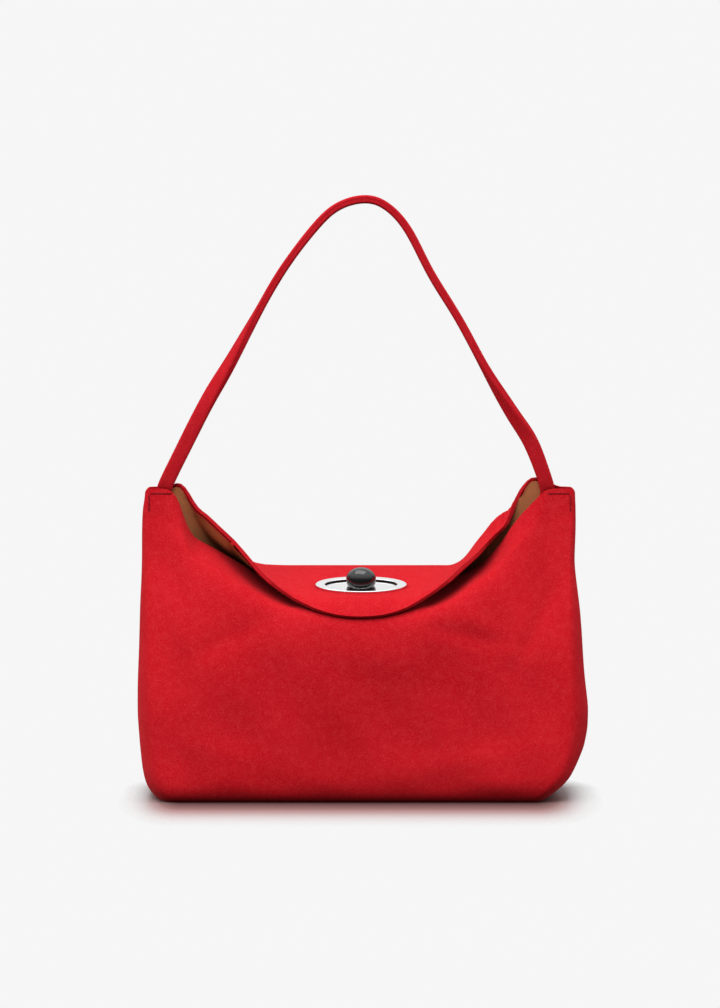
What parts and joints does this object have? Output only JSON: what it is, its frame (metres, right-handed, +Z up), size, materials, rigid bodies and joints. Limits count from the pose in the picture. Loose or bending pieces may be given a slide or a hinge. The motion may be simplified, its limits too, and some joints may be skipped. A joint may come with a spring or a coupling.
{
  "type": "shoulder bag",
  "caption": "Soft suede shoulder bag with a sagging over-the-top flap, an oval turn lock on the flap and one long rolled strap.",
  "frame": {"origin": "middle of the footprint, on the surface the bag stands on", "axes": "+X to the right seen from the front, +Y to the back, +Z up; the lock and the flap's lip face -Y"},
  "size_m": [0.3, 0.091, 0.4003],
  "materials": {
    "suede": "napped suede, bright red",
    "lining": "smooth tan-brown leather",
    "board": "plain bonded fibre",
    "polished_metal": "polished",
    "steel": "plain",
    "knob_black": "polished black",
    "thread": "waxed thread"
  },
  "bodies": {
    "bag": {"front_panel": "suede", "back_panel": "suede", "left_gusset": "suede", "right_gusset": "suede", "base_panel": "suede", "front_lining": "lining", "back_lining": "lining", "left_gusset_lining": "lining", "right_gusset_lining": "lining", "base_lining": "lining", "base_board": "board", "lock_stiffener": "board", "lock_base_plate": "polished_metal", "lock_backing_plate": "polished_metal", "lock_screws": "polished_metal", "stop_pins": "steel", "spring_washer": "steel", "strap_tab_left": "suede", "strap_tab_right": "suede", "corner_stitches_left": "thread", "corner_stitches_right": "thread"},
    "flap": {"flap_panel": "suede", "flap_lining": "lining", "flap_stiffener": "board", "eyelet_plate": "polished_metal", "eyelet_backplate": "polished_metal", "eyelet_screws": "polished_metal"},
    "knob": {"lock_knob": "knob_black", "knob_collar": "polished_metal", "lock_spindle": "steel", "stop_cam": "steel", "spindle_clip": "steel"},
    "strap": {"strap_wrap": "suede", "strap_core": "board"}
  },
  "joints": [
    {"name": "flap_fold", "type": "hinge", "parent": "bag", "child": "flap", "pos_m": [0, 0.036, 0.1506], "axis": [-1, 0, 0], "range_deg": [0, 170]},
    {"name": "knob_turn", "type": "hinge", "parent": "bag", "child": "knob", "pos_m": [0, -0.008, 0.14], "axis": [0, -0.2588, 0.9659], "range_deg": [0, 90]},
    {"name": "strap_swing", "type": "hinge", "parent": "bag", "child": "strap", "pos_m": [0, 0, 0.2105], "axis": [1, 0, 0], "range_deg": [-105, 105]}
  ]
}
